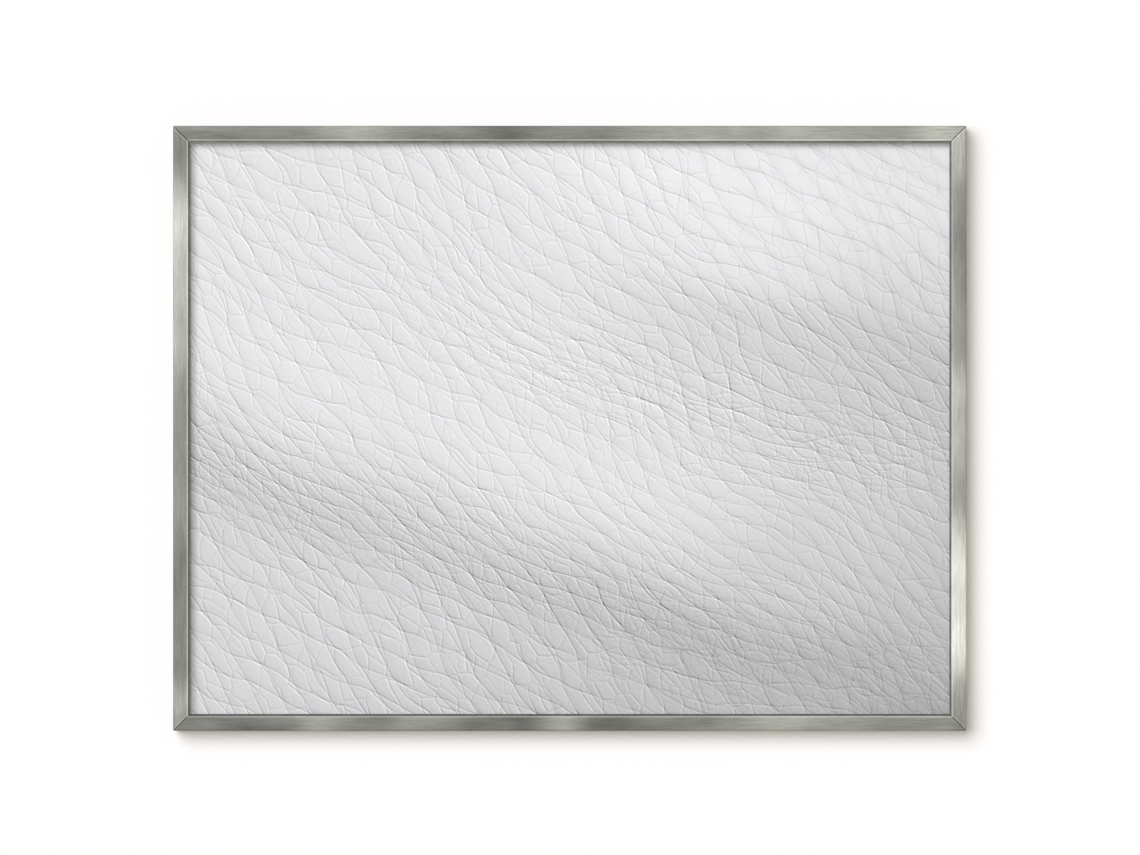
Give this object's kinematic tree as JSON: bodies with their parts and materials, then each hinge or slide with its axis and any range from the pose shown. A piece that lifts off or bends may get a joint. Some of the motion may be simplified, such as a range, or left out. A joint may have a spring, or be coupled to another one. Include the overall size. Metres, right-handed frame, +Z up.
{
  "type": "magnetic glass board",
  "caption": "Wall-hung magnetic glass board: leather-grain print behind clear glass over a steel sheet, in a narrow mitred brushed-metal frame with swinging hanger rings.",
  "frame": {"origin": "midway between the two wall hooks that carry the hanger rings, in the plane of the wall", "axes": "+X to the right and +Z up for someone who faces the board, +Y into the wall"},
  "size_m": [0.83, 0.025, 0.633],
  "materials": {
    "brushed_frame": "brushed along each rail, warm grey, stainless look",
    "seal_rubber": "matt",
    "clear_glass": "clear toughened float glass, polished",
    "leather_print": "white leather-grain print on film",
    "galvanised_steel": "galvanised",
    "hardboard": "smooth brown hardboard",
    "spring_steel": "tempered strip",
    "zinc_plate": "zinc plated, stamped",
    "black_screw_steel": "blackened",
    "nickel_plate": "nickel plated, satin",
    "screw_zinc": "zinc plated",
    "bumper_rubber": "matt black"
  },
  "bodies": {
    "board": {"frame_rail_top": "brushed_frame", "frame_rail_bottom": "brushed_frame", "frame_rail_left": "brushed_frame", "frame_rail_right": "brushed_frame", "glazing_seal_top": "seal_rubber", "glazing_seal_bottom": "seal_rubber", "glazing_seal_left": "seal_rubber", "glazing_seal_right": "seal_rubber", "glass_pane": "clear_glass", "leather_print_film": "leather_print", "steel_sheet": "galvanised_steel", "backing_board": "hardboard", "spring_clip_top_1": "spring_steel", "spring_clip_top_2": "spring_steel", "spring_clip_top_3": "spring_steel", "spring_clip_bottom_1": "spring_steel", "spring_clip_bottom_2": "spring_steel", "spring_clip_bottom_3": "spring_steel", "spring_clip_left_1": "spring_steel", "spring_clip_left_2": "spring_steel", "spring_clip_right_1": "spring_steel", "spring_clip_right_2": "spring_steel", "corner_angle_threaded_top_right": "zinc_plate", "corner_angle_threaded_bottom_right": "zinc_plate", "corner_angle_threaded_bottom_left": "zinc_plate", "corner_angle_threaded_top_left": "zinc_plate", "corner_angle_plain_top_right": "zinc_plate", "corner_angle_plain_bottom_right": "zinc_plate", "corner_angle_plain_bottom_left": "zinc_plate", "corner_angle_plain_top_left": "zinc_plate", "corner_screw_top_right_in_top_rail": "black_screw_steel", "corner_screw_top_right_in_right_rail": "black_screw_steel", "corner_screw_bottom_right_in_right_rail": "black_screw_steel", "corner_screw_bottom_right_in_bottom_rail": "black_screw_steel", "corner_screw_bottom_left_in_bottom_rail": "black_screw_steel", "corner_screw_bottom_left_in_left_rail": "black_screw_steel", "corner_screw_top_left_in_left_rail": "black_screw_steel", "corner_screw_top_left_in_top_rail": "black_screw_steel", "hanger_strap_left": "nickel_plate", "hanger_strap_right": "nickel_plate", "hanger_nut_plate_left": "zinc_plate", "hanger_nut_plate_right": "zinc_plate", "hanger_screw_left_upper": "screw_zinc", "hanger_screw_left_lower": "screw_zinc", "hanger_screw_right_upper": "screw_zinc", "hanger_screw_right_lower": "screw_zinc", "wall_bumper_left": "bumper_rubber", "wall_bumper_right": "bumper_rubber"},
    "left_ring": {"hanger_ring_left": "nickel_plate"},
    "right_ring": {"hanger_ring_right": "nickel_plate"}
  },
  "joints": [
    {"name": "left_ring_swing", "type": "hinge", "parent": "board", "child": "left_ring", "pos_m": [-0.4085, -0.00275, -0.01147], "axis": [-1, 0, 0], "range_deg": [0, 180]},
    {"name": "right_ring_swing", "type": "hinge", "parent": "board", "child": "right_ring", "pos_m": [0.4085, -0.00275, -0.01147], "axis": [-1, 0, 0], "range_deg": [0, 180]}
  ]
}
